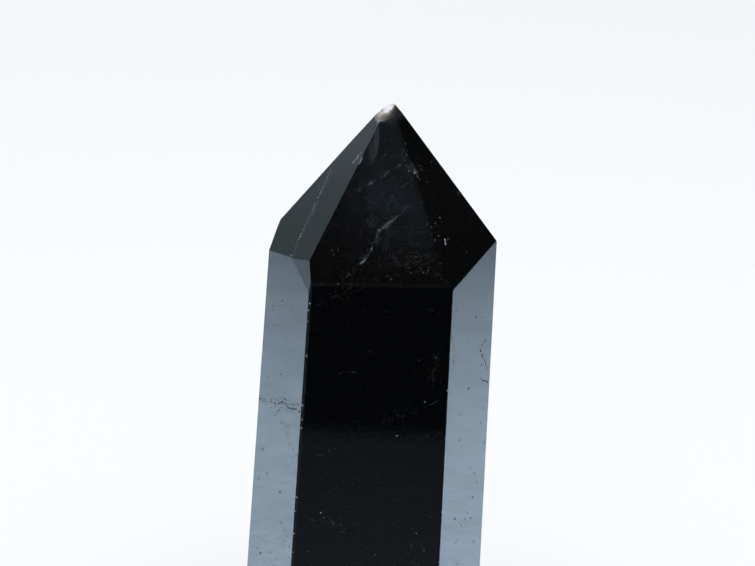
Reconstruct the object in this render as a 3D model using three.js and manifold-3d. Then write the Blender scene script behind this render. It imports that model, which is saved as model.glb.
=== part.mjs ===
// Morion quartz point: a polished tower of near-black smoky quartz, in one piece.
// Millimetres, +Z up. The front wall faces -Y, +X is to its right, and the stone stands on its
// sawn base, with the origin at the middle of the base.
//
// It is made the way a lapidary makes it: a rough block is sawn level, every face is ground flat
// one after the other, and the brittle edges then lose a few shell-shaped chips.
import * as THREE from 'three';
import { mergeVertices } from 'three/addons/utils/BufferGeometryUtils.js';
import Module from 'manifold-3d';

// The rough block that the tower is ground from, large enough for every face to cut it.
const BLOCK = { width: 60, depth: 60, height: 100 };

// The six walls. bearing is how far the wall's outward side is turned from the front (-Y) towards
// +X, in degrees; foot is its distance from the tower's axis at the base, and lean the number of
// degrees that it leans in on the way up.
const WALLS = {
  front: { bearing: 0, foot: 11.9, lean: 1 },
  right: { bearing: 66.8, foot: 12.7, lean: 0.6 },
  rightBack: { bearing: 112, foot: 12.95, lean: 0.1 },
  back: { bearing: 180, foot: 12.1, lean: 1 },
  leftBack: { bearing: -107.6, foot: 14.9, lean: 1.9 },
  left: { bearing: -69, foot: 12.8, lean: 1.7 },
};

// The faces of the point. bearing is as above, slope the angle to the level, in degrees, and peak
// the height at which the face crosses the point's own axis. The left face was ground in three
// passes a few degrees apart, which left a strip in front of it and a sliver behind it, and the
// corner where that strip, the left wall and the front wall meet was rolled off.
const POINT_AXIS = { x: 0.8, y: 0 };
const POINT_FACES = {
  front: { bearing: -1.1, slope: 59, peak: 81.15 },
  right: { bearing: 63.1, slope: 57, peak: 81 },
  rightBack: { bearing: 120.9, slope: 56.7, peak: 81.3 },
  back: { bearing: 176, slope: 56.5, peak: 82 },
  leftBack: { bearing: -140, slope: 56.5, peak: 82.1 },
  leftSliver: { bearing: -83.6, slope: 57.5, peak: 81.85 },
  left: { bearing: -79.6, slope: 58.5, peak: 81.9 },
  leftStrip: { bearing: -78.3, slope: 57.9, peak: 81.55 },
  leftCorner: { bearing: -67.8, slope: 83.5, peak: 165.8 },
};

// The bevel ground all round the foot, so that the sawn edge doesn't flake.
const FOOT_BEVEL = { width: 0.6, slope: 45 };

// Shell-shaped scars of lost chips, each the dent of a ball: at is the scar's deepest point,
// bearing and rise the direction that the chip came away in, and radius the ball's. stretch is how
// many times longer the ball is up the face than across it, and steps how finely it is divided.
const BALL_STEPS = 40;
const LONG_FLAKE_STEPS = 120;
const SCARS = [
  { name: 'broken tip, upper', at: [0.24, 0.75, 79.87], bearing: -64, rise: 58, radius: 4 },
  { name: 'broken tip, front', at: [0.62, -0.45, 79.66], bearing: -48, rise: 50, radius: 2.8 },
  { name: 'broken tip, left', at: [-0.66, 0.12, 78.95], bearing: -84, rise: 48, radius: 3 },
  { name: 'broken tip, right', at: [1.24, 0.24, 80.2], bearing: 82, rise: 44, radius: 2.6 },
  {
    name: 'long flake below the tip',
    at: [-1.98, -2.18, 77.23],
    bearing: -1.1,
    rise: 31,
    radius: 10.5,
    stretch: 2.1,
    steps: LONG_FLAKE_STEPS,
  },
  { name: 'notch in the left strip', at: [-2.51, -3.25, 75.29], bearing: -40, rise: 31, radius: 1 },
  { name: 'nick right of the front face', at: [3.26, -3.72, 74.69], bearing: 31, rise: 32, radius: 1 },
];

const MORION = { color: 0x17110d, roughness: 0.06, metalness: 0 };

const RIGHT_ANGLE = 90;
const radians = THREE.MathUtils.degToRad;

const wasm = await Module();
wasm.setup();

// A closed three.js geometry as a solid that can be cut.
function solid(geometry) {
  geometry.deleteAttribute('normal');
  geometry.deleteAttribute('uv');
  const merged = mergeVertices(geometry);
  return new wasm.Manifold(new wasm.Mesh({
    numProp: 3,
    vertProperties: new Float32Array(merged.attributes.position.array),
    triVerts: new Uint32Array(merged.index.array),
  }));
}

// The direction that bears so many degrees from the front and rises so many degrees.
function direction(bearing, rise) {
  const level = Math.cos(radians(rise));
  return new THREE.Vector3(
    Math.sin(radians(bearing)) * level,
    -Math.cos(radians(bearing)) * level,
    Math.sin(radians(rise)),
  );
}

// Grinds away everything outside the flat face through a point that looks in a direction.
function grind(stone, through, outward) {
  const waste = new THREE.BoxGeometry(BLOCK.height * 2, BLOCK.height * 2, BLOCK.height);
  const turn = new THREE.Quaternion().setFromUnitVectors(new THREE.Vector3(0, 0, 1), outward);
  waste.applyQuaternion(turn);
  const centre = through.clone().addScaledVector(outward, BLOCK.height / 2);
  waste.translate(centre.x, centre.y, centre.z);
  return stone.subtract(solid(waste));
}

// Takes out one shell-shaped scar.
function chip(stone, { at, bearing, rise, radius, stretch = 1, steps = BALL_STEPS }) {
  const outward = direction(bearing, rise);
  const across = new THREE.Vector3(0, 0, 1).cross(outward).normalize();
  const up = outward.clone().cross(across);
  const ball = new THREE.SphereGeometry(radius, steps, steps / 2);
  ball.scale(1, stretch, 1);
  ball.applyMatrix4(new THREE.Matrix4().makeBasis(across, up, outward));
  const centre = new THREE.Vector3(...at).addScaledVector(outward, radius);
  ball.translate(centre.x, centre.y, centre.z);
  return stone.subtract(solid(ball));
}

// The rough block, sawn level at z = 0.
function roughBlock() {
  const block = new THREE.BoxGeometry(BLOCK.width, BLOCK.depth, BLOCK.height);
  block.translate(0, 0, BLOCK.height / 2);
  return solid(block);
}

function groundWalls(block) {
  let stone = block;
  for (const { bearing, foot, lean } of Object.values(WALLS)) {
    stone = grind(stone, direction(bearing, 0).multiplyScalar(foot), direction(bearing, lean));
  }
  return stone;
}

function groundPoint(prism) {
  let stone = prism;
  for (const { bearing, slope, peak } of Object.values(POINT_FACES)) {
    const top = new THREE.Vector3(POINT_AXIS.x, POINT_AXIS.y, peak);
    stone = grind(stone, top, direction(bearing, RIGHT_ANGLE - slope));
  }
  return stone;
}

function bevelledFoot(tower) {
  let stone = tower;
  for (const { bearing, foot } of Object.values(WALLS)) {
    const edge = direction(bearing, 0).multiplyScalar(foot - FOOT_BEVEL.width);
    stone = grind(stone, edge, direction(bearing, -FOOT_BEVEL.slope));
  }
  return stone;
}

// The solid as three.js geometry, stood with the middle of its box's underside at the origin.
function standing(stone) {
  const { numProp, vertProperties, triVerts } = stone.getMesh();
  const geometry = new THREE.BufferGeometry();
  geometry.setAttribute('position', new THREE.BufferAttribute(vertProperties, numProp));
  geometry.setIndex(new THREE.BufferAttribute(triVerts, 1));
  geometry.computeBoundingBox();
  const { min, max } = geometry.boundingBox;
  geometry.translate(-(min.x + max.x) / 2, -(min.y + max.y) / 2, -min.z);
  geometry.computeVertexNormals();
  return geometry;
}

const tower = bevelledFoot(groundPoint(groundWalls(roughBlock())));
const stone = SCARS.reduce(chip, tower);

const quartzPoint = new THREE.Mesh(standing(stone), new THREE.MeshStandardMaterial(MORION));
quartzPoint.name = 'quartz_point';

const morionQuartzPoint = new THREE.Group();
morionQuartzPoint.add(quartzPoint);

export default morionQuartzPoint;
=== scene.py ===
import math
import random

import bmesh
import bpy
from mathutils import Matrix, Vector, noise


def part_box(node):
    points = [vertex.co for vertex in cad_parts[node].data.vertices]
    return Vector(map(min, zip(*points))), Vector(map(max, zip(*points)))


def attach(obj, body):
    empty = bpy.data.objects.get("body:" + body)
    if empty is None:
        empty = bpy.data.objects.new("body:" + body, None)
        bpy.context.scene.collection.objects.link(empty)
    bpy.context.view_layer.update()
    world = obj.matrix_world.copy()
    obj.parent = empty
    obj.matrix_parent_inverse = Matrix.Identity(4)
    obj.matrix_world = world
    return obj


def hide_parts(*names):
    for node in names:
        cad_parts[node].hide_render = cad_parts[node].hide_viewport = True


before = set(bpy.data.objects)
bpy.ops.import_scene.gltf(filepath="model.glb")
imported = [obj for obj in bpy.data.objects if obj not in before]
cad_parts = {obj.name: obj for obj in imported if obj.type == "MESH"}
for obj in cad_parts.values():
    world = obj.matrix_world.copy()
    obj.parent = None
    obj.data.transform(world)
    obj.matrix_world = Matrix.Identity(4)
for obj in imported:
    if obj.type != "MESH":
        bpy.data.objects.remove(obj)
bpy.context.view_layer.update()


# ---- The ground stone -------------------------------------------------------------------------
# One crystal of morion, quartz that natural radiation has smoked almost black. It was sawn level,
# then its walls and the faces of its point were ground flat one after the other. A last light
# touch on the wheel eased the sharp arrises between them.

MM = 0.001
SNUG = 0.003 * MM  # closer than this is the same place
SAME_FACE = math.radians(0.6)
SMALLEST_FACE = 0.3 * MM * MM
SHARP_ARRIS = math.radians(6)
SHORTEST_ARRIS = 0.2 * MM
EASED_WIDTH = 0.11 * MM
EASED_FRONT_LEFT = 0.40 * MM
ROLLED_SHOULDER = 0.45 * MM

stone_low, stone_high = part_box("quartz_point")
stone_height = stone_high.z - stone_low.z


def ground_faces(node):
    """The stone's flat ground faces as (outward, distance): those with the whole stone behind them."""
    solid = bmesh.new()
    solid.from_mesh(node.data)
    bmesh.ops.remove_doubles(solid, verts=solid.verts, dist=SNUG / 3)
    corners = [vertex.co.copy() for vertex in solid.verts]
    found = []
    for triangle in sorted(solid.faces, key=lambda face: -face.calc_area()):
        triangle.normal_update()
        outward = triangle.normal.copy()
        distance = max(corner.dot(outward) for corner in corners)
        if distance - triangle.verts[0].co.dot(outward) > SNUG:
            continue
        for face in found:
            if face["outward"].angle(outward) < SAME_FACE:
                face["area"] += triangle.calc_area()
                break
        else:
            found.append({"outward": outward, "distance": distance, "area": triangle.calc_area()})
    solid.free()
    return [(face["outward"], face["distance"]) for face in found if face["area"] > SMALLEST_FACE]


def ground_block(flats):
    """A closed stone cut from a block, one flat after the other."""
    block = bmesh.new()
    bmesh.ops.create_cube(block, size=4 * stone_height)
    for outward, distance in flats:
        cut = bmesh.ops.bisect_plane(
            block,
            geom=block.verts[:] + block.edges[:] + block.faces[:],
            dist=SNUG / 10,
            plane_co=outward * distance,
            plane_no=outward,
            clear_outer=True,
        )
        rim = [part for part in cut["geom_cut"] if isinstance(part, bmesh.types.BMEdge)]
        if rim:
            bmesh.ops.contextual_create(block, geom=rim)
    bmesh.ops.recalc_face_normals(block, faces=block.faces)
    return block


def towards(bearing, rise):
    """The direction so many degrees round from the front, to the right, and so many above level."""
    level = math.cos(math.radians(rise))
    return Vector((
        math.sin(math.radians(bearing)) * level,
        -math.cos(math.radians(bearing)) * level,
        math.sin(math.radians(rise)),
    ))


flats = ground_faces(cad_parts["quartz_point"])
sharp_stone = ground_block(flats)

arrises = []
for edge in sharp_stone.edges:
    first, second = (face.normal.copy() for face in edge.link_faces)
    if first.angle(second) > SHARP_ARRIS and edge.calc_length() > SHORTEST_ARRIS:
        low_end, high_end = sorted((vertex.co.copy() for vertex in edge.verts), key=lambda end: end.z)
        arrises.append({
            "low": low_end,
            "high": high_end,
            "outward": (first + second).normalized(),
            "turn": first.angle(second),
        })


def arris_towards(bearing, rise):
    """The long arris that looks nearest to a direction."""
    wanted = towards(bearing, rise)
    long_ones = [arris for arris in arrises if (arris["high"] - arris["low"]).length > 4 * MM]
    return max(long_ones, key=lambda arris: arris["outward"].dot(wanted))


front_left = arris_towards(-34, 1)
front_shoulder = arris_towards(0, 16)
own_width = {id(front_left): EASED_FRONT_LEFT, id(front_shoulder): ROLLED_SHOULDER}
eased = []
for arris in arrises:
    width = own_width.get(id(arris), EASED_WIDTH)
    depth = width / 2 * math.tan(arris["turn"] / 2)
    eased.append((arris["outward"], arris["low"].dot(arris["outward"]) - depth))
eased_stone = ground_block(flats + eased)


# ---- The polish --------------------------------------------------------------------------------
# Morion lapped and then polished on a soft wheel: a clear, glassy surface with hardly any waves and
# faint lines up and down, over a stone that swallows light within a few millimetres. Where it is
# chipped it is crushed to a frosty white, because every tiny crack in it turns light back.

FRESH = "fresh"  # how crushed and white a broken surface is, from 0 to 1
SMOKE_IN_DEPTH = (0.53, 0.40, 0.20, 1)  # what is left of white light on its way through, linear
SMOKE_DENSITY = 1500.0  # to a metre
SMOKE = "#8b8984"
MILK = "#668cb6"
CRUSHED_WHITE = "#e9eaed"
CRUSHED_CREAM = "#b3aba0"
CRUSHED_BROWN = "#6b6258"
BRUISE_PALE = "#b4bfc8"
BRUISE_DARK = "#6d7883"
QUARTZ_IOR = 1.544
GLOSS = (0.012, 0.03)  # least and most roughness of the polish
CRUSHED_ROUGHNESS = 0.45
MOST_HIDDEN = 0.95  # how far the whitest crushing hides what is under it
MILK_HAZE = 0.046
DUST_HAZE = 0.006
TIP_WHITE = 0.12
LIP_WHITE = 0.6
LINE_WIDTH = 0.25 * MM
LINE_LENGTH = 6 * MM
WAVE_LENGTH = 5 * MM
MILK_SIZE = 1.6 * MM
MILK_DEPTH = 17 * MM  # from the top of the stone down to where the milkiness ends
GRAIN = 0.12 * MM
CLOUDING = 0.75 * MM
PEEL = 0.45 * MM  # the faint orange peel that a soft wheel leaves
DUST = 1.1 * MM  # between the thin patches of dust that stick to a polished face
TIP = Vector((0.7, 0.2, 79.6)) * MM
TIP_STAIN = 1.2 * MM
TIP_BRUISE = 2.0 * MM
BLOW_AND_HIGHLIGHT = Vector((0.50, 0.60, 79.85)) * MM  # where the tip was struck and crushed; the whitest spot round it is also a painted highlight
LIP = Vector((-0.25, -0.80, 79.0)) * MM  # a bruise under the left end of the break


def add(tree, kind, inputs=None, **settings):
    """Adds a node with its settings. Each input in use, by name or number, gets a value or a link: from
    the socket given, or from the first output in use of the node given."""
    node = tree.nodes.new(kind)
    for name, value in settings.items():
        setattr(node, name, value)
    for name, value in (inputs or {}).items():
        named = [socket for socket in node.inputs if socket.name == name and socket.enabled]
        entry = named[0] if named else node.inputs[name]
        if isinstance(value, bpy.types.Node):
            value = [socket for socket in value.outputs if socket.enabled][0]
        if isinstance(value, bpy.types.NodeSocket):
            tree.links.new(value, entry)
        else:
            entry.default_value = value
    return node


def linear(hex_colour):
    """An sRGB hex colour as linear red, green, blue and 1."""
    values = [int(hex_colour[place:place + 2], 16) / 255 for place in (1, 3, 5)]
    return [v / 12.92 if v <= 0.04045 else ((v + 0.055) / 1.055) ** 2.4 for v in values] + [1.0]


def new_material(name):
    """An empty node material."""
    material = bpy.data.materials.new(name)
    material.use_nodes = True
    material.node_tree.nodes.clear()
    return material


def polished_morion():
    """Clear dark quartz under a wheel polish, frosted where the face attribute says it is broken; the broken
    tip has a painted highlight and a painted shade.
    """
    material = new_material("polished_morion")
    tree = material.node_tree
    place = add(tree, "ShaderNodeTexCoord").outputs["Object"]
    fresh = add(tree, "ShaderNodeAttribute", attribute_name=FRESH).outputs["Fac"]
    sideways, _, height = add(tree, "ShaderNodeSeparateXYZ", {0: place}).outputs
    to_right, slanted = (
        add(tree, "ShaderNodeVectorMath", {0: place, 1: way}, operation="DOT_PRODUCT")
        for way in ((1.0, 0.66, 0.0), (1.0, -0.8, 0.0))
    )
    from_blow_highlight, from_tip, from_lip = (
        add(tree, "ShaderNodeVectorMath", {0: place, 1: spot}, operation="DISTANCE")
        for spot in (BLOW_AND_HIGHLIGHT, TIP, LIP)
    )
    milky, clouding, dusty, waves, peel, grain = (
        add(tree, "ShaderNodeTexNoise", {"Vector": place, "Scale": 1 / size, "Detail": detail})
        for size, detail in (
            (MILK_SIZE, 5.0), (CLOUDING, 4.0), (DUST, 4.0), (WAVE_LENGTH, 1.0), (PEEL, 3.0), (GRAIN, 3.0),
        )
    )
    along = add(tree, "ShaderNodeMapping", {
        "Vector": place, "Scale": (1 / LINE_WIDTH, 1 / LINE_WIDTH, 1 / LINE_LENGTH),
    })
    lines = add(tree, "ShaderNodeTexNoise", {"Vector": along, "Scale": 1.0, "Detail": 2.0})

    by = {}
    for title, value, first, last, at_first, at_last in (
        # Name, what it goes by, two limits of that, and what it is at each of them
        ("upper", height, stone_high.z - MILK_DEPTH, stone_high.z - MILK_DEPTH / 2, 0.0, 1.0),
        ("under tip", height, stone_high.z - 4 * MM, stone_high.z - 9 * MM, 0.3, 1.0),
        ("cloudy", milky, 0.22, 0.78, 0.0, 1.0),
        ("in front", to_right, 1.3 * MM, 0.4 * MM, 0.16, 1.0),
        ("beside", sideways, -4 * MM, 0.5 * MM, 0.15, 1.0),
        ("dust", dusty, 0.45, 0.75, 0.0, DUST_HAZE),
        ("crush", clouding, 0.34, 0.66, 0.72, 1.12),
        ("painted highlight near blow", from_blow_highlight, 0.35 * MM, 1.4 * MM, 1.0, 0.55),
        ("painted shade to the right", slanted, 0.9 * MM, 1.6 * MM, 1.0, 0.45),
        ("painted light by tip", from_blow_highlight, 3 * MM, 2.4 * MM, 0.0, 1.0),
        ("lip", from_lip, 0.60 * MM, 0.15 * MM, 0.0, LIP_WHITE),
        ("gloss", lines, 0.3, 0.7, *GLOSS),
    ):
        by[title] = add(tree, "ShaderNodeMapRange", {
            "Value": value, "From Min": first, "From Max": last, "To Min": at_first, "To Max": at_last,
        })
    milk = by["upper"]
    for title in ("under tip", "cloudy", "in front", "beside"):
        milk = add(tree, "ShaderNodeMath", {0: milk, 1: by[title]}, operation="MULTIPLY")

    stained = add(
        tree, "ShaderNodeMapRange", {"Value": from_tip, "From Min": TIP_BRUISE, "From Max": TIP_STAIN},
        interpolation_type="SMOOTHSTEP",
    )
    # Round the struck tip the frost is whitest at one spot, a painted highlight, and less white to the right,
    # a painted shade.
    painted_light_on_break = add(tree, "ShaderNodeMath", {0: by["painted highlight near blow"], 1: by["painted shade to the right"]}, operation="MULTIPLY")
    crushing_and_painted_light = add(tree, "ShaderNodeMix", {"Factor": by["painted light by tip"], "A": 1.0, "B": painted_light_on_break}, data_type="FLOAT")
    crushed_and_highlit_here = add(tree, "ShaderNodeMath", {0: crushing_and_painted_light, 1: by["crush"]}, operation="MULTIPLY")
    broken = add(tree, "ShaderNodeMath", {0: fresh, 1: crushed_and_highlit_here}, operation="MULTIPLY")
    under = add(tree, "ShaderNodeMath", {0: stained, 1: by["crush"]}, operation="MULTIPLY")
    around = add(tree, "ShaderNodeMath", {0: under, 1: TIP_WHITE}, operation="MULTIPLY")
    bruised = add(tree, "ShaderNodeMath", {0: around, 1: by["lip"]}, operation="MAXIMUM")
    white = add(tree, "ShaderNodeMath", {0: broken, 1: bruised}, operation="MAXIMUM", use_clamp=True)

    any_white, half_way, most = (
        add(tree, "ShaderNodeMapRange", {"Value": white, "From Min": first, "From Max": last})
        for first, last in ((0.0, 0.1), (0.25, 0.6), (0.55, 0.85))
    )
    colour = {shade: linear(shade) for shade in (
        SMOKE, MILK, BRUISE_DARK, BRUISE_PALE, CRUSHED_BROWN, CRUSHED_CREAM, CRUSHED_WHITE,
    )}
    for title, factor, first, last in (
        ("clear", milk, SMOKE, MILK),
        ("dark", stained, BRUISE_DARK, CRUSHED_BROWN),
        ("pale", stained, BRUISE_PALE, CRUSHED_CREAM),
        ("greyish", half_way, "dark", "pale"),
        ("crushed", most, "greyish", CRUSHED_WHITE),
        ("whole", any_white, "clear", "crushed"),
    ):
        mixed = {"Factor": factor, "A": colour[first], "B": colour[last]}
        colour[title] = add(tree, "ShaderNodeMix", mixed, data_type="RGBA")

    hidden = add(tree, "ShaderNodeMath", {0: white, 1: MOST_HIDDEN}, operation="MULTIPLY")
    deep_haze = add(tree, "ShaderNodeMath", {0: milk, 1: MILK_HAZE}, operation="MULTIPLY")
    dust_haze = add(tree, "ShaderNodeMath", {0: by["dust"], 1: by["in front"]}, operation="MULTIPLY")
    haze = add(tree, "ShaderNodeMath", {0: deep_haze, 1: dust_haze}, operation="ADD")
    veiled = add(tree, "ShaderNodeMath", {0: hidden, 1: haze}, operation="ADD")
    through = add(tree, "ShaderNodeMath", {0: 1.0, 1: veiled}, operation="SUBTRACT", use_clamp=True)

    grit = add(tree, "ShaderNodeMath", {0: grain, 1: fresh}, operation="MULTIPLY")
    relief = {}
    for height_by, depth in ((waves, 0.004), (peel, 0.005), (lines, 0.0006), (grit, 0.03)):
        relief = {"Normal": add(tree, "ShaderNodeBump", {
            "Height": height_by, "Distance": depth * MM, "Strength": 1.0, **relief,
        })}

    rough = {"Factor": fresh, "A": by["gloss"], "B": CRUSHED_ROUGHNESS}
    surface = add(tree, "ShaderNodeBsdfPrincipled", {
        "Base Color": colour["whole"], "Roughness": add(tree, "ShaderNodeMix", rough, data_type="FLOAT"),
        "IOR": QUARTZ_IOR, "Transmission Weight": through, **relief,
    })
    inside = add(tree, "ShaderNodeVolumeAbsorption", {"Color": SMOKE_IN_DEPTH, "Density": SMOKE_DENSITY})
    add(tree, "ShaderNodeOutputMaterial", {"Surface": surface, "Volume": inside})
    return material


morion = polished_morion()


# ---- The broken tip and the larger flakes ------------------------------------------------------
# Quartz has no cleavage: a knock takes out a shell-shaped flake with fine ripples round the blow.
# Four small ones have blunted the tip, a long thin one runs down from it on the front face, and
# one nick sits on each side of that face.

DISH_ROUND = 56  # corners round a dish
DISH_RING = 0.12 * MM  # from one ring of corners to the next
DISH_FEWEST_RINGS = 14
DISH_WIDTH = 0.86  # of the shell's radius
SEED_STEP = 7.3  # so that no two scars are rough in the same way
# Name, deepest point in mm from the middle of the stone's foot, bearing and rise that the scar
# faces, radius of its shell, how many times longer it is up and down than across, ripple height and
# ripple length in mm, whiteness.
SCARS = (
    ("tip upper", (0.65, 0.65, 79.87), -64, 58, 4.0, 1.0, 0.024, 0.40, 1.0),
    ("tip front", (1.03, -0.55, 79.66), -48, 50, 2.8, 1.0, 0.022, 0.28, 0.90),
    ("tip left", (-0.25, 0.02, 78.95), -84, 48, 3.0, 1.0, 0.024, 0.30, 0.90),
    ("tip right", (1.65, 0.14, 80.20), 82, 44, 2.6, 1.0, 0.018, 0.30, 0.50),
    ("long flake", (-1.57, -2.28, 77.23), -1.1, 31, 10.5, 2.1, 0.003, 0.90, 0.0),
    ("notch", (-2.10, -3.35, 75.29), -40, 31, 1.0, 1.3, 0.012, 0.30, 0.45),
    ("nick", (3.67, -3.82, 74.69), 31, 32, 1.0, 1.3, 0.012, 0.30, 0.10),
)


def shell_scar(deepest, outward, radius, stretch, ripple, ripple_length, seed):
    """A closed dish whose round underside is a rippled shell, to be cut out of the stone."""
    side = Vector((0, 0, 1)).cross(outward).normalized()
    other = outward.cross(side)
    rings = max(DISH_FEWEST_RINGS, int(radius / DISH_RING))
    centre = deepest + outward * radius
    blow = side * radius * 0.5
    dish = bmesh.new()
    bottom = dish.verts.new(deepest)
    rows = []
    for ring in range(1, rings + 1):
        across = radius * DISH_WIDTH * ring / rings
        row = []
        for step in range(DISH_ROUND):
            angle = 2 * math.pi * step / DISH_ROUND
            level = (side * math.cos(angle) + other * math.sin(angle) * stretch) * across
            wave = math.sin(2 * math.pi * (level - blow).length / ripple_length)
            rough = noise.noise(level / ripple_length * 1.3 + Vector((seed, 0, 0)))
            depth = math.sqrt(radius * radius - across * across) - ripple * (0.5 * wave + rough)
            row.append(dish.verts.new(centre + level - outward * depth))
        rows.append(row)
    lid = [dish.verts.new(vertex.co + outward * radius * 3) for vertex in rows[-1]]
    rows.append(lid)
    for step in range(DISH_ROUND):
        after = (step + 1) % DISH_ROUND
        dish.faces.new((bottom, rows[0][after], rows[0][step]))
        for inner, outer in zip(rows, rows[1:]):
            dish.faces.new((inner[step], inner[after], outer[after], outer[step]))
    dish.faces.new(lid)
    bmesh.ops.recalc_face_normals(dish, faces=dish.faces)
    return dish


def placed(name, data):
    """A new object in the scene, at the origin."""
    made = bpy.data.objects.new(name, data)
    bpy.context.scene.collection.objects.link(made)
    return made


def mesh_of(shape, name):
    """A shape as a mesh."""
    data = bpy.data.meshes.new(name)
    shape.to_mesh(data)
    shape.free()
    return data


def as_object(shape, name, whiteness=0.0):
    """A mesh object at the origin, with every face given one whiteness."""
    data = mesh_of(shape, name)
    data.attributes.new(FRESH, "FLOAT", "FACE").data.foreach_set("value", [whiteness] * len(data.polygons))
    return placed(name, data)


def plain_mesh(made):
    """Replaces an object's mesh with what its modifiers make of it, and takes them off."""
    scene_now = bpy.context.evaluated_depsgraph_get()
    scene_now.update()
    result = bpy.data.meshes.new_from_object(made.evaluated_get(scene_now), depsgraph=scene_now)
    made.modifiers.clear()
    made.data = result


def break_out(stone, cutter):
    """Cuts a closed shape out of the stone and throws the shape away."""
    cut = stone.modifiers.new("break out", "BOOLEAN")
    cut.operation = "DIFFERENCE"
    cut.solver = "MANIFOLD"
    cut.object = cutter
    plain_mesh(stone)
    bpy.data.objects.remove(cutter)


stone = as_object(eased_stone, "polished_quartz_point")
for number, scar in enumerate(SCARS):
    name, deepest, bearing, rise, radius, stretch, ripple, ripple_length, whiteness = scar
    dish = shell_scar(
        Vector(deepest) * MM, towards(bearing, rise), radius * MM, stretch,
        ripple * MM, ripple_length * MM, number * SEED_STEP,
    )
    break_out(stone, as_object(dish, name, whiteness))


# ---- Nicks along the arrises and pits along the cracks -----------------------------------------
# Handling has knocked small shells out of the arrises, most of them low on the left of the front
# wall and along the faint ridge left of the point. Where a crack meets the polish, the wheel has
# pulled a row of pits out of it.


def grown(made, tree, values):
    """Runs a Geometry Nodes tree on an object, with its named inputs, and keeps the plain mesh."""
    run = made.modifiers.new(tree.name, "NODES")
    run.node_group = tree
    for socket in tree.interface.items_tree:
        if socket.in_out == "INPUT" and socket.name in values:
            run[socket.identifier] = values[socket.name]
    plain_mesh(made)


def new_tree(name, inputs):
    """An empty Geometry Nodes tree from geometry to geometry with named inputs."""
    tree = bpy.data.node_groups.new(name, "GeometryNodeTree")
    tree.interface.new_socket("Geometry", in_out="INPUT", socket_type="NodeSocketGeometry")
    tree.interface.new_socket("Geometry", in_out="OUTPUT", socket_type="NodeSocketGeometry")
    for title, kind in inputs.items():
        tree.interface.new_socket(title, in_out="INPUT", socket_type="NodeSocket" + kind)
    return tree


# What each point of a wire carries for the nicks that grow on it
WIRE_CARRIES = {"chance": "FLOAT", "size": "FLOAT", "outward": "FLOAT_VECTOR", "along": "FLOAT_VECTOR"}


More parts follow.
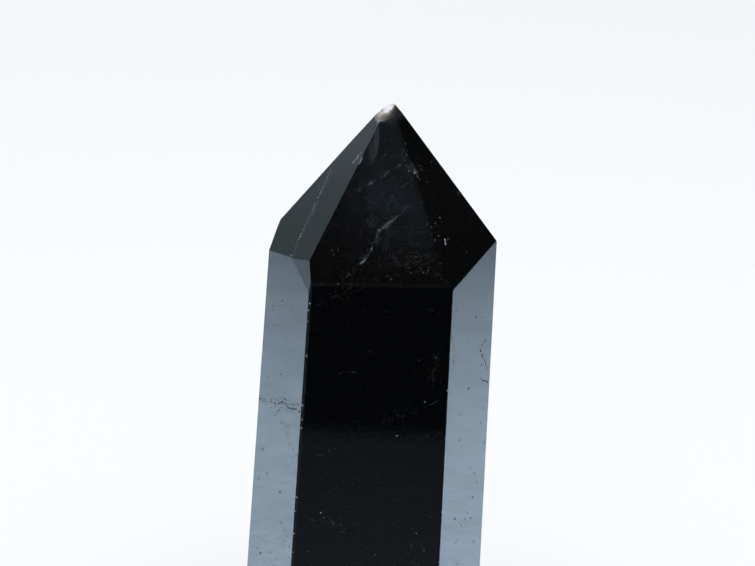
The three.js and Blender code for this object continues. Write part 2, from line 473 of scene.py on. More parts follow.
def nick_tree():
    """Small angular chips on a wire, no two touching, each ready to be cut out of the stone."""
    tree = new_tree("nicks on a wire", {
        "Spacing": "Float", "Gap": "Float", "Spread": "Float", "Stretch": "Float", "Turn": "Float",
        "Proud": "Float", "Whiteness": "Float", "Seed": "Int", "Material": "Material",
    })
    given = add(tree, "NodeGroupInput").outputs
    carried = {
        title: add(tree, "GeometryNodeInputNamedAttribute", {"Name": title}, data_type=kind)
        for title, kind in WIRE_CARRIES.items()
    }
    drawn = {}
    for title, part_of_seed, kind, low, high in (
        ("luck", 1, "FLOAT", 0.0, 1.0),
        ("shift", 2, "FLOAT_VECTOR", (-1, -1, -1), (1, 1, 1)),
        ("height", 3, "FLOAT", 0.0, 0.55),
        ("turn", 4, "FLOAT_VECTOR", (-1, -1, -1), (1, 1, 1)),
        ("shape", 5, "FLOAT_VECTOR", (0.55, 0.55, 0.55), (1.25, 1.25, 1.25)),
    ):
        own_seed = add(tree, "ShaderNodeMath", {0: given["Seed"], 1: part_of_seed}, operation="ADD")
        limits = {"Min": low, "Max": high, "Seed": own_seed}
        drawn[title] = add(tree, "FunctionNodeRandomValue", limits, data_type=kind)

    curve = add(tree, "GeometryNodeMeshToCurve", {"Mesh": given["Geometry"]})
    points = add(
        tree, "GeometryNodeCurveToPoints", {"Curve": curve, "Length": given["Spacing"]}, mode="LENGTH",
    )
    missing = add(
        tree, "FunctionNodeCompare", {"A": drawn["luck"], "B": carried["chance"]},
        data_type="FLOAT", operation="GREATER_THAN",
    )
    kept = add(tree, "GeometryNodeDeleteGeometry", {"Geometry": points, "Selection": missing})
    # Each moves a little within the surface, and those that come too close to another are merged
    shift = add(
        tree, "ShaderNodeVectorMath", {0: drawn["shift"], "Scale": given["Spread"]}, operation="SCALE",
    )
    lifted = add(tree, "ShaderNodeVectorMath", {0: shift, 1: carried["outward"]}, operation="PROJECT")
    level = add(tree, "ShaderNodeVectorMath", {0: shift, 1: lifted}, operation="SUBTRACT")
    shifted = add(tree, "GeometryNodeSetPosition", {"Geometry": kept, "Offset": level})
    corners = add(tree, "GeometryNodePointsToVertices", {"Points": shifted})
    apart = add(tree, "GeometryNodeMergeByDistance", {"Geometry": corners, "Distance": given["Gap"]})
    height = add(tree, "ShaderNodeMath", {0: drawn["height"], 1: given["Proud"]}, operation="ADD")
    lift = add(tree, "ShaderNodeMath", {0: height, 1: carried["size"]}, operation="MULTIPLY")
    raised = add(tree, "ShaderNodeVectorMath", {0: carried["outward"], "Scale": lift}, operation="SCALE")
    seats = add(tree, "GeometryNodeSetPosition", {"Geometry": apart, "Offset": raised})

    along = add(tree, "FunctionNodeAlignRotationToVector", {"Vector": carried["along"]}, axis="X")
    turned = add(tree, "ShaderNodeVectorMath", {0: drawn["turn"], "Scale": given["Turn"]}, operation="SCALE")
    lie = add(
        tree, "FunctionNodeRotateRotation", {"Rotation": along, "Rotate By": turned}, rotation_space="LOCAL",
    )
    grown_by = add(
        tree, "ShaderNodeVectorMath", {0: drawn["shape"], "Scale": carried["size"]}, operation="SCALE",
    )
    longer = add(tree, "ShaderNodeCombineXYZ", {0: given["Stretch"], 1: 1.0, 2: 1.0})
    nicks = add(tree, "GeometryNodeInstanceOnPoints", {
        "Points": seats,
        "Instance": add(tree, "GeometryNodeMeshIcoSphere", {"Radius": 1.0, "Subdivisions": 1}),
        "Rotation": lie,
        "Scale": add(tree, "ShaderNodeVectorMath", {0: grown_by, 1: longer}, operation="MULTIPLY"),
    })
    real = add(tree, "GeometryNodeRealizeInstances", {"Geometry": nicks})
    marked = add(
        tree, "GeometryNodeStoreNamedAttribute",
        {"Geometry": real, "Name": FRESH, "Value": given["Whiteness"]}, data_type="FLOAT", domain="FACE",
    )
    finish = add(tree, "GeometryNodeSetMaterial", {"Geometry": marked, "Material": given["Material"]})
    add(tree, "NodeGroupOutput", {"Geometry": finish})
    return tree


def carrying(name, corners, edges, faces, kinds, values):
    """A mesh object whose corners carry named numbers or vectors."""
    data = bpy.data.meshes.new(name)
    data.from_pydata(corners, edges, faces)
    for title, kind in kinds.items():
        slot = "vector" if kind == "FLOAT_VECTOR" else "value"
        data.attributes.new(title, kind, "POINT").data.foreach_set(slot, values[title])
    return placed(name, data)


def wires(lines):
    """Lines of points as one mesh of edges. Each line is its points, the way out of the stone, the
    size of its nicks, and how often there is one at its start and at its end."""
    corners, edges = [], []
    carried = {title: [] for title in WIRE_CARRIES}
    for points, outward, size, chance_start, chance_end in lines:
        edges += [(len(corners) + step, len(corners) + step + 1) for step in range(len(points) - 1)]
        corners += points
        for step in range(len(points)):
            carried["outward"].extend(outward)
            carried["along"].extend((points[-1] - points[0]).normalized())
            carried["size"].append(size)
            carried["chance"].append(chance_start + (chance_end - chance_start) * step / (len(points) - 1))
    return carrying("wires", corners, edges, [], WIRE_CARRIES, carried)


def face_towards(bearing, rise):
    """The ground face that looks nearest to a direction, with its lowest corner's height up it."""
    wanted = towards(bearing, rise)
    outward, distance = max(flats, key=lambda flat: flat[0].dot(wanted))
    across = Vector((0, 0, 1)).cross(outward).normalized()
    up = outward.cross(across)
    corners = [
        vertex.co for vertex in sharp_stone.verts if abs(vertex.co.dot(outward) - distance) < SNUG
    ]
    return {
        "outward": outward, "distance": distance, "across": across, "up": up,
        "foot": min(corner.dot(up) for corner in corners),
    }


def on_face(face, across, up, depth=0.0):
    """A point so many mm across a face from the stone's middle, up it from its foot, and under it."""
    return (
        face["across"] * across * MM
        + face["up"] * (face["foot"] + up * MM)
        + face["outward"] * (face["distance"] - depth * MM)
    )


FRONT_WALL = face_towards(0, 1)
RIGHT_WALL = face_towards(67, 1)
RIGHT_BACK_WALL = face_towards(112, 0)
BACK_WALL = face_towards(180, 1)
LEFT_BACK_WALL = face_towards(-107, 2)
LEFT_WALL = face_towards(-67.5, 1)
POINT_FRONT = face_towards(-1, 31)
POINT_RIGHT = face_towards(64, 33)
POINT_RIGHT_BACK = face_towards(121, 33)
POINT_BACK = face_towards(176, 33)
POINT_LEFT_BACK = face_towards(-139, 33)
POINT_STRIP = face_towards(-78.3, 32.1)
POINT_LEFT = face_towards(-79.6, 31.5)

# Bearing and rise of an arris, mean radius of its nicks in mm, and how often there is one at its
# low end and at its high end.
NICKED = (
    (-34, 1, 0.15, 0.95, 0.55),
    (34, 1, 0.09, 0.35, 0.20),
    (-36, 40, 0.09, 0.40, 0.12),
    (32, 37, 0.07, 0.20, 0.08),
    (92, 37, 0.09, 0.40, 0.20),
    (-69, 17, 0.08, 0.55, 0.55),
    (-88, 1, 0.11, 0.55, 0.35),
    (89, 1, 0.10, 0.45, 0.35),
    (-108, 17, 0.09, 0.75, 0.50),
    (0, 16, 0.07, 0.10, 0.10),
)
PLAIN_NICKS = (0.09, 0.30, 0.25)
ANY_WAY = 3.14  # radians either way that a nick may be turned
nicks = nick_tree()


def nick_lines(knocked):
    """Every arris as a wire, the well-knocked ones with their own size and number of nicks."""
    own = {id(arris_towards(bearing, rise)): (size, low, high) for bearing, rise, size, low, high in NICKED}
    lines = []
    for arris in arrises:
        size, low_chance, high_chance = own.get(id(arris), PLAIN_NICKS)
        eased_by = own_width.get(id(arris), EASED_WIDTH) / 2 * math.tan(arris["turn"] / 2)
        ends = [arris["low"], arris["high"]]
        points = [ends[0].lerp(ends[1], share) - arris["outward"] * eased_by for share in (0.01, 0.5, 0.99)]
        lines.append((points, arris["outward"], size * MM, low_chance * knocked, high_chance * knocked))
    return lines


PASSES = (
    # Spacing, gap, spread across the wire in mm, share of the chances, whiteness and seed of each pass
    (0.42, 0.39, 0.16, 1.0, 0.0, 11),
    (0.44, 0.39, 0.22, 0.9, 0.12, 13),
    (0.47, 0.39, 0.10, 0.3, 0.60, 12),
)
for spacing, gap, spread, knocked, whiteness, seed in PASSES:
    cutters = wires(nick_lines(knocked))
    grown(cutters, nicks, {
        "Spacing": spacing * MM, "Gap": gap * MM, "Spread": spread * MM, "Stretch": 1.0, "Turn": ANY_WAY,
        "Proud": 0.10, "Whiteness": whiteness, "Seed": seed, "Material": morion,
    })
    break_out(stone, cutters)

# The faint ridge between the two faces left of the point, bruised white from end to end.
faint_ridge = [
    vertex.co.copy() for vertex in sharp_stone.verts
    if all(
        abs(vertex.co.dot(face["outward"]) - face["distance"]) < SNUG for face in (POINT_LEFT, POINT_STRIP)
    )
]
faint_ridge.sort(key=lambda end: end.z)
ridge_out = (POINT_LEFT["outward"] + POINT_STRIP["outward"]).normalized()
ridge_points = [faint_ridge[0].lerp(faint_ridge[-1], share) for share in (0.02, 0.3, 0.6, 0.8, 0.97)]

# Face, mean radius of its pits in mm, how often there is one, and the line in mm across and up.
PITTED = (
    (LEFT_WALL, 0.105, 0.90, [(-6.4, 41.5), (-4.4, 42.3), (-2.3, 43.1), (-0.9, 43.2)]),
    (LEFT_WALL, 0.125, 0.97, [(-0.9, 43.2), (1.5, 44.7), (2.9, 44.9), (4.6, 45.5), (6.9, 46.2)]),
    (LEFT_WALL, 0.080, 0.60, [(1.2, 42.0), (2.9, 42.6), (4.2, 41.2), (5.1, 40.3)]),
    (LEFT_WALL, 0.080, 0.70, [(0.3, 47.7), (0.2, 48.5)]),
    (RIGHT_WALL, 0.100, 0.95, [(4.4, 51.7), (3.0, 51.7), (2.6, 51.0), (3.8, 49.6), (5.1, 47.8)]),
    (RIGHT_WALL, 0.115, 0.95, [(3.2, 47.3), (4.2, 46.6), (5.4, 45.9)]),
    (RIGHT_WALL, 0.085, 0.90, [(-6.1, 56.2), (-5.4, 54.8), (-4.9, 53.8), (-5.3, 53.1), (-5.6, 52.0)]),
)
LONE_PITS = (
    (LEFT_WALL, 0.105, (
        (3.9, 35.4), (2.4, 33.5), (-2.1, 27.9), (-0.9, 27.7), (3.4, 30.0), (4.9, 29.8), (5.7, 29.4),
        (5.2, 28.5), (6.7, 28.6), (2.4, 27.4), (-4.1, 22.7), (-2.7, 22.8), (0.8, 24.7), (2.6, 24.8),
        (7.2, 40.7), (0.0, 50.4), (-4.0, 54.4), (-1.1, 56.4),
    )),
    (RIGHT_WALL, 0.110, (
        (4.4, 42.9), (-5.4, 40.2), (2.6, 35.2), (3.7, 33.4), (1.0, 30.7), (0.4, 30.2), (-2.8, 31.7),
        (-0.6, 29.8), (-1.6, 28.3), (-2.4, 28.4), (3.5, 25.7), (-1.5, 25.1),
    )),
)

SHORT_LINE = 0.01  # mm
LEAST_PIT = 0.045  # mean radius of the smallest strewn pit in mm, and how much more the largest has
PIT_RANGE = 0.090
PITS_ACROSS = (-9, 9)  # where on a wall they may lie, in mm
PITS_UP = (1, 68)
PITS_FROM_EDGE = 0.4 * MM
PITS_APART = 0.8 * MM


def crack_lines(wall, share):
    """The cracks that reach one wall's polish, with a share of the size of their pits."""
    lines = []
    for face, size, chance, line in PITTED:
        if face is wall:
            points = [on_face(face, *spot) for spot in line]
            lines.append((points, face["outward"], size * share * MM, chance, chance))
    return lines


def lone_pits():
    """Single pits as the shortest of lines."""
    lines = []
    for face, size, spots in LONE_PITS:
        for across, up in spots:
            short = [on_face(face, across, up), on_face(face, across + SHORT_LINE, up)]
            lines.append((short, face["outward"], size * MM, 1.0, 1.0))
    return lines


def strewn_pits(number, seed):
    """Tiny pits all over the walls, where the polish opened up a bubble or pulled out a grain."""
    rng = random.Random(seed)
    lines, taken = [], []
    for _ in range(number):
        face = rng.choice((FRONT_WALL, RIGHT_WALL, RIGHT_BACK_WALL, BACK_WALL, LEFT_BACK_WALL, LEFT_WALL))
        across, up = rng.uniform(*PITS_ACROSS), rng.uniform(*PITS_UP)
        size = LEAST_PIT + PIT_RANGE * rng.random() ** 3
        place = on_face(face, across, up)
        beyond = max(place.dot(out) - far for out, far in flats if out is not face["outward"])
        if beyond > -PITS_FROM_EDGE or any((place - other).length < PITS_APART for other in taken):
            continue
        taken.append(place)
        short = [place, on_face(face, across + SHORT_LINE, up)]
        lines.append((short, face["outward"], size * MM, 1.0, 1.0))
    return lines


PIT_PASSES = (
    # Lines, spacing, gap and spread in mm, stretch, turn, how far out its middle is, whiteness, seed
    (crack_lines(LEFT_WALL, 1.10), 0.95, 0.90, 0.14, 2.6, 0.2, -0.30, 0.0, 31),
    (crack_lines(LEFT_WALL, 1.00), 0.92, 0.82, 0.36, 2.6, 0.2, -0.30, 0.0, 34),
    (crack_lines(LEFT_WALL, 0.90), 0.88, 0.74, 0.62, 2.6, 0.2, -0.25, 0.0, 37),
    (crack_lines(LEFT_WALL, 0.80), 0.96, 0.66, 0.90, 2.6, 0.2, -0.25, 0.0, 39),
    (crack_lines(RIGHT_WALL, 0.88), 0.93, 0.92, 0.04, 3.6, 0.1, -0.30, 0.0, 40),
    (crack_lines(RIGHT_WALL, 0.82), 0.88, 0.86, 0.06, 3.6, 0.1, -0.30, 0.0, 41),
    (crack_lines(RIGHT_WALL, 0.76), 0.74, 0.72, 0.16, 3.2, 0.2, -0.25, 0.0, 42),
    (lone_pits(), 0.40, 0.40, 0.0, 2.4, 0.2, -0.25, 0.0, 38),
    (strewn_pits(1100, 35), 0.30, 0.30, 0.0, 2.4, 0.2, -0.20, 0.0, 36),
    ([(ridge_points, ridge_out, 0.10 * MM, 0.75, 0.85)], 0.26, 0.26, 0.05, 1.0, ANY_WAY, 0.30, 0.75, 32),
    ([(ridge_points, ridge_out, 0.06 * MM, 0.60, 0.90)], 0.21, 0.16, 0.12, 1.0, ANY_WAY, 0.30, 0.75, 33),
)
for lines, spacing, gap, spread, stretch, turn, proud, whiteness, seed in PIT_PASSES:
    cutters = wires(lines)
    grown(cutters, nicks, {
        "Spacing": spacing * MM, "Gap": gap * MM, "Spread": spread * MM, "Stretch": stretch, "Turn": turn,
        "Proud": proud, "Whiteness": whiteness, "Seed": seed, "Material": morion,
    })
    break_out(stone, cutters)

stone.data.materials.clear()
stone.data.materials.append(morion)
stone.data.polygons.foreach_set("material_index", [0] * len(stone.data.polygons))
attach(stone, "root")
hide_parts("quartz_point")


# ---- Healed cracks and glints inside the stone --------------------------------------------------
# Cracks that closed again while the crystal grew. Each is a thin sheet of tiny flat gaps filled with
# gas or water. The ones that come up to the polish show as bluish-white threads, and the ones below
# it as a dim haze of specks.

# Face; half width of the thread's core in mm; flakes to a square mm of it; how bright they are, from
# 0 to 1; and the line that the thread follows, in mm across and up the face.
THREADS = (
    # The long thread down the front of the point, with its strands, its bright knot and its tail
    (POINT_FRONT, 0.07, 260, 0.57, [(4.0, 9.5), (3.4, 9.2), (2.7, 8.4), (2.0, 7.8), (1.3, 7.2), (0.8, 6.6)]),
    (POINT_FRONT, 0.11, 260, 0.74, [(2.4, 8.2), (1.6, 7.5), (0.8, 6.6), (0.3, 5.7), (-0.2, 4.8)]),
    (POINT_FRONT, 0.13, 160, 0.55, [(2.0, 7.4), (1.0, 6.2), (0.4, 5.3), (-0.2, 4.4)]),
    (POINT_FRONT, 0.13, 160, 0.60, [(-0.1, 5.0), (-0.3, 4.2), (-0.7, 3.4), (-1.3, 2.8)]),
    (POINT_FRONT, 0.07, 420, 1.00, [(-0.9, 3.15), (-1.2, 2.85), (-1.6, 2.50)]),
    (POINT_FRONT, 0.12, 130, 0.48, [(-1.5, 2.6), (-2.0, 2.2), (-2.7, 1.3), (-3.4, 0.3)]),
    (FRONT_WALL, 0.12, 90, 0.34, [(-2.6, 63.4), (-3.4, 62.0), (-4.5, 60.8), (-6.4, 59.6)]),
    (FRONT_WALL, 0.09, 80, 0.26, [(-1.6, 63.3), (-2.6, 62.0), (-4.2, 60.8), (-5.7, 60.2)]),
    # Two dotted arcs across the upper part of the point
    (POINT_FRONT, 0.08, 210, 0.54, [(-2.8, 11.0), (-2.3, 10.8), (-1.6, 11.2), (-0.9, 11.8), (0.6, 12.6)]),
    (POINT_FRONT, 0.10, 190, 0.62, [(0.6, 12.6), (1.1, 13.2), (2.4, 13.9), (2.7, 15.0), (2.9, 16.1)]),
    (POINT_FRONT, 0.09, 180, 0.60, [(1.5, 10.3), (2.3, 10.9), (2.8, 11.5), (3.6, 12.1), (4.2, 12.4)]),
    (POINT_FRONT, 0.06, 130, 0.44, [(-1.8, 10.7), (-1.1, 10.0)]),
    # The forked white patch on the arris right of the front, and the threads beyond it
    (POINT_FRONT, 0.11, 190, 0.58, [(2.9, 14.0), (3.5, 13.7), (3.9, 13.4)]),
    (POINT_RIGHT, 0.14, 260, 0.72, [(-1.9, 13.6), (-1.3, 13.6), (-0.6, 13.8), (0.3, 14.0)]),
    (POINT_RIGHT, 0.12, 240, 0.78, [(-1.7, 13.5), (-1.8, 12.9), (-1.9, 12.3)]),
    # Fine curved lines where the face rolls over into the wall
    (POINT_FRONT, 0.04, 120, 0.26, [(-6.0, -0.1), (-3.6, 0.0), (-1.3, 0.3), (0.9, 0.7), (3.1, 1.1)]),
    (POINT_FRONT, 0.05, 130, 0.30, [(-3.0, 0.5), (0.0, 1.0), (2.0, 1.3), (3.5, 1.7), (4.9, 2.1), (6.5, 2.0)]),
    (POINT_FRONT, 0.05, 110, 0.26, [(6.5, 2.0), (7.9, 1.6), (8.7, 0.8)]),
    # The front wall, from the top down
    (FRONT_WALL, 0.05, 90, 0.20, [(2.1, 63.1), (-0.7, 62.4), (-2.0, 61.7), (-3.3, 61.2)]),
    (FRONT_WALL, 0.08, 50, 0.26, [(1.4, 59.5), (2.8, 60.1)]),
    (FRONT_WALL, 0.08, 60, 0.28, [(5.1, 60.2), (6.6, 59.8), (8.0, 59.4)]),
    (FRONT_WALL, 0.09, 110, 0.36, [(5.2, 53.4), (6.2, 54.1), (7.5, 54.1), (7.9, 55.3)]),
    (FRONT_WALL, 0.09, 90, 0.32, [(7.5, 54.1), (7.9, 53.0), (7.0, 52.1), (7.2, 50.9)]),
    (FRONT_WALL, 0.07, 110, 0.34, [(-4.5, 51.2), (-3.4, 51.5), (-2.5, 51.8), (-1.6, 51.7)]),
    (FRONT_WALL, 0.07, 70, 0.28, [(-5.7, 56.5), (-4.9, 56.7)]),
    (FRONT_WALL, 0.06, 150, 0.32, [(1.4, 45.4), (3.6, 46.4), (5.4, 47.3), (7.2, 48.1), (8.1, 48.9)]),
    (FRONT_WALL, 0.07, 70, 0.24, [(0.9, 46.6), (2.7, 47.1), (3.6, 46.7), (1.7, 45.9)]),
    (FRONT_WALL, 0.07, 120, 0.34, [(-6.7, 40.2), (-5.3, 41.0), (-3.5, 42.1), (-2.9, 42.8)]),
    (FRONT_WALL, 0.08, 50, 0.30, [(-2.1, 41.9), (0.1, 43.3)]),
    (FRONT_WALL, 0.08, 80, 0.34, [(5.3, 43.7), (7.4, 44.4), (8.3, 44.8)]),
    (FRONT_WALL, 0.08, 60, 0.34, [(6.2, 40.8), (7.6, 40.1)]),
    (FRONT_WALL, 0.11, 110, 0.42, [(-6.8, 33.2), (-5.2, 32.3), (-4.3, 33.4), (-2.9, 32.8)]),
    (FRONT_WALL, 0.11, 130, 0.46, [(-4.3, 33.4), (-3.3, 32.4), (-2.2, 31.6), (-1.4, 31.1)]),
    (FRONT_WALL, 0.10, 60, 0.38, [(-1.3, 32.5), (0.1, 33.1)]),
    (FRONT_WALL, 0.08, 110, 0.55, [(6.5, 33.8), (7.9, 33.7)]),
    (FRONT_WALL, 0.10, 80, 0.46, [(5.3, 33.0), (6.2, 31.6)]),
    (FRONT_WALL, 0.16, 50, 0.46, [(5.3, 29.7), (6.3, 30.2), (7.5, 29.5), (8.0, 28.6)]),
    (FRONT_WALL, 0.12, 80, 0.46, [(5.6, 27.9), (6.9, 27.6)]),
)
# A thread is a dense core inside two wider and thinner halos: how many times as wide each is, and
# what share of the core's crowd and brightness it has.
LAYERS = ((1.0, 1.00, 1.0), (3.0, 0.26, 0.88), (7.0, 0.08, 0.75))

# Face, half width in mm, flakes to a square mm, brightness, and the line down the middle of each
# loose field of specks.
FIELDS = (
    (POINT_FRONT, 0.50, 260, 0.32, [(-0.9, 9.6), (-0.1, 9.3), (0.3, 8.9)]),
    (POINT_FRONT, 0.32, 380, 0.33, [(-0.2, 9.2), (-0.5, 8.2), (-0.6, 7.4), (-0.6, 6.8)]),
    (POINT_FRONT, 0.22, 300, 0.30, [(-1.2, 7.6), (-1.4, 6.4), (-1.4, 5.4)]),
    (POINT_FRONT, 0.80, 140, 0.31, [(-1.0, 7.2), (0.4, 7.9), (1.4, 8.9), (2.6, 9.6)]),
    (POINT_FRONT, 2.40, 60, 0.31, [(1.0, 4.9), (3.6, 4.9), (6.6, 4.6)]),
    (POINT_FRONT, 1.20, 34, 0.54, [(2.0, 3.9), (4.2, 3.6), (7.2, 3.0)]),
    (POINT_FRONT, 1.30, 18, 0.30, [(1.4, 17.2), (1.7, 15.4), (2.4, 14.2), (3.0, 12.6)]),
    (POINT_FRONT, 3.00, 9, 0.27, [(-2.4, 11.4), (0.7, 12.2), (3.4, 11.6)]),
    (POINT_FRONT, 0.50, 14, 0.30, [(5.2, 10.2), (6.4, 6.2), (7.6, 2.6)]),
    (POINT_FRONT, 0.90, 14, 0.40, [(-5.2, 3.6), (-4.2, 3.4)]),
    (POINT_FRONT, 3.80, 4, 0.28, [(-5.6, 2.6), (-2.6, 6.0), (-1.8, 9.0)]),
    (POINT_RIGHT, 1.20, 12, 0.26, [(0.6, 14.6), (-0.9, 11.4), (-1.2, 8.2)]),
    (POINT_RIGHT, 0.60, 26, 0.44, [(2.6, 13.8), (3.6, 10.4), (4.9, 6.9), (4.8, 5.0)]),
    (POINT_RIGHT, 1.10, 14, 0.40, [(-1.6, 8.0), (-2.4, 6.4), (-2.4, 4.4)]),
    (POINT_RIGHT, 1.60, 8, 0.28, [(-2.9, 4.6), (0.5, 4.8), (2.7, 3.0)]),
    (POINT_STRIP, 0.25, 420, 0.84, [(1.95, 14.3), (1.75, 13.6), (1.6, 13.0)]),
    (POINT_STRIP, 0.20, 300, 0.70, [(1.8, 14.2), (1.85, 14.9)]),
    (POINT_STRIP, 0.50, 90, 0.50, [(1.5, 12.2), (1.6, 13.6), (1.6, 15.4)]),
    (POINT_STRIP, 0.50, 34, 0.44, [(0.2, 14.6), (0.4, 13.0), (-0.2, 11.6)]),
    (FRONT_WALL, 2.20, 5, 0.26, [(-5.6, 60.4), (0.0, 61.4), (6.4, 60.6)]),
    (FRONT_WALL, 0.90, 26, 0.28, [(6.5, 54.6), (7.4, 52.2), (6.9, 49.8)]),
    (FRONT_WALL, 4.00, 2.5, 0.28, [(-4.4, 52.0), (0.6, 50.0), (5.6, 49.0)]),
    (FRONT_WALL, 0.80, 16, 0.28, [(-2.3, 44.4), (-0.3, 45.2)]),
    (FRONT_WALL, 3.60, 5, 0.36, [(-4.4, 38.0), (0.6, 37.5), (5.6, 38.0)]),
    (FRONT_WALL, 3.60, 6, 0.38, [(-4.9, 30.0), (0.6, 28.5), (5.6, 30.5)]),
    (FRONT_WALL, 0.90, 24, 0.42, [(-5.6, 32.6), (-3.4, 32.6), (-1.6, 31.4)]),
)
FLAKE_SIZE = 0.050  # mm
FLAKE_WIDTH = 0.7  # times its size, as is its thickness
FLAKE_THICKNESS = 0.25
GAP_BLUE = "#93b4d0"
GAP_WHITE = "#e2ebf3"
GAP_PATCH = 1.2 * MM
BURIED = 0.01  # mm under the polish
DIP = 0.10
WOBBLE = 0.10  # mm that a thread wanders to each side
STEP = 0.35  # mm between the points of a thread
CRACKS_BEHIND = 9
CRACK_HEIGHTS = (0.1, 0.95)  # of the stone's height
CRACK_SLANT = (-0.6, 0.6)
CRACK_SHARE = (0.3, 0.9)  # of a face's width that a crack shows on
CRACK_BRIGHT = (0.3, 0.55)
# What each corner of a sheet carries for the flakes that lie on it
SHEET_CARRIES = {"crowd": "FLOAT", "bright": "FLOAT", "run": "FLOAT_VECTOR"}

# Face, size in mm, brightness and places of single glints. The brightness is painted: a pale colour on each
# flake stands in for the sparkle of light off it.
PAINTED_GLINTS = (
    (POINT_RIGHT, 0.10, 0.95, ((-2.78, 4.91), (-2.63, 5.11), (-2.87, 4.76), (-2.55, 5.26))),
    (POINT_RIGHT, 0.07, 0.60, ((-1.5, 7.6), (-2.8, 7.4), (-3.4, 6.0), (-2.0, 5.1), (2.0, 13.4), (4.1, 8.6))),
    (POINT_RIGHT, 0.06, 0.50, ((5.2, 6.5), (3.7, 5.2), (0.3, 2.6), (-0.6, 11.8), (-1.6, 12.4))),
    (POINT_FRONT, 0.06, 0.50, ((2.9, 16.5), (4.1, 13.1), (5.1, 10.0), (6.3, 7.2), (7.5, 3.1), (0.6, 15.1))),
    (POINT_FRONT, 0.06, 0.55, ((-4.7, 4.0), (-4.5, 3.5), (2.1, 1.1), (5.7, 2.0), (3.5, 7.0), (5.8, 7.5))),
    (POINT_STRIP, 0.09, 0.95, ((1.85, 14.6), (2.0, 13.9), (1.9, 13.6), (1.6, 13.1), (1.75, 14.1))),
    (FRONT_WALL, 0.08, 0.75, ((3.4, 44.0), (6.4, 48.4), (-4.9, 33.7))),
    (FRONT_WALL, 0.07, 0.50, ((1.6, 28.6), (-6.2, 28.6), (7.2, 29.4), (7.4, 54.0), (6.2, 31.6))),
    (LEFT_WALL, 0.09, 0.95, ((4.6, 51.0),)),
    (RIGHT_WALL, 0.09, 0.90, ((-0.2, 29.7),)),
)


def wandering(line, seed):
    """A line of corners drawn as a thread that wobbles between them."""
    corners = [Vector((across, up)) for across, up in line]
    points = []
    for start, end in zip(corners, corners[1:]):
        steps = max(1, round((end - start).length / STEP))
        points += [start.lerp(end, step / steps) for step in range(steps)]
    points.append(corners[-1])
    wobbled = []
    for point in points:
        place = Vector((point.x, point.y, seed)) * 0.9
        sway = Vector((noise.noise(place), noise.noise(place + Vector((0, 0, 50)))))
        wobbled.append(point + sway * WOBBLE * 2)
    return wobbled


def ribbon(sheets, face, half_width, crowd, bright, points):
    """Adds a strip under a line on a face. Its flakes are crowded in its middle and thin out aside."""
    for step, point in enumerate(points):
        run = (points[min(step + 1, len(points) - 1)] - points[max(step - 1, 0)]).normalized()
        end = step in (0, len(points) - 1)
        for side in (-1, 0, 1):
            aside = side * half_width
            sheets["corners"].append(on_face(
                face, point.x - run.y * aside, point.y + run.x * aside, BURIED + DIP * half_width * (side + 1)
            ))
            sheets["crowd"].append(0.0 if side else crowd * (0.35 if end else 1.0) * 2)
            sheets["bright"].append(bright)
            sheets["run"].extend(face["across"] * run.x + face["up"] * run.y)
        if step:
            row = len(sheets["corners"]) - 6
            sheets["faces"] += [(row, row + 3, row + 4, row + 1), (row + 1, row + 4, row + 5, row + 2)]


def thread(sheets, face, half_width, crowd, bright, line, seed):
    """Adds a thread: a dense core inside wider and thinner halos."""
    points = wandering(line, seed)
    for wider, share, dimmer in LAYERS:
        ribbon(sheets, face, half_width * wider, crowd * share, bright * dimmer, points)


def spot_on(face, place):
    """Where a place is on a face, in mm across and up it."""
    return place.dot(face["across"]) / MM, (place.dot(face["up"]) - face["foot"]) / MM


def cracks_behind(number, seed):
    """Where flat cracks through the stone meet its back, as lines on faces."""
    rng = random.Random(seed)
    behind = (BACK_WALL, LEFT_BACK_WALL, RIGHT_BACK_WALL, POINT_BACK, POINT_LEFT_BACK, POINT_RIGHT_BACK)
    for _ in range(number):
        through = Vector((0, 0, stone_height * rng.uniform(*CRACK_HEIGHTS)))
        across = Vector((rng.uniform(*CRACK_SLANT), rng.uniform(*CRACK_SLANT), 1)).normalized()
        whole = sharp_stone.copy()
        cut = bmesh.ops.bisect_plane(
            whole, geom=whole.verts[:] + whole.edges[:] + whole.faces[:], plane_co=through, plane_no=across
        )
        lines = [part for part in cut["geom_cut"] if isinstance(part, bmesh.types.BMEdge)]
        for edge in lines:
            ends = [vertex.co.copy() for vertex in edge.verts]
            for face in behind:
                if all(abs(end.dot(face["outward"]) - face["distance"]) < SNUG for end in ends):
                    ends[1] = ends[0].lerp(ends[1], rng.uniform(*CRACK_SHARE))
                    if (ends[1] - ends[0]).length > MM:
                        yield face, rng.uniform(*CRACK_BRIGHT), [spot_on(face, end) for end in ends]
        whole.free()


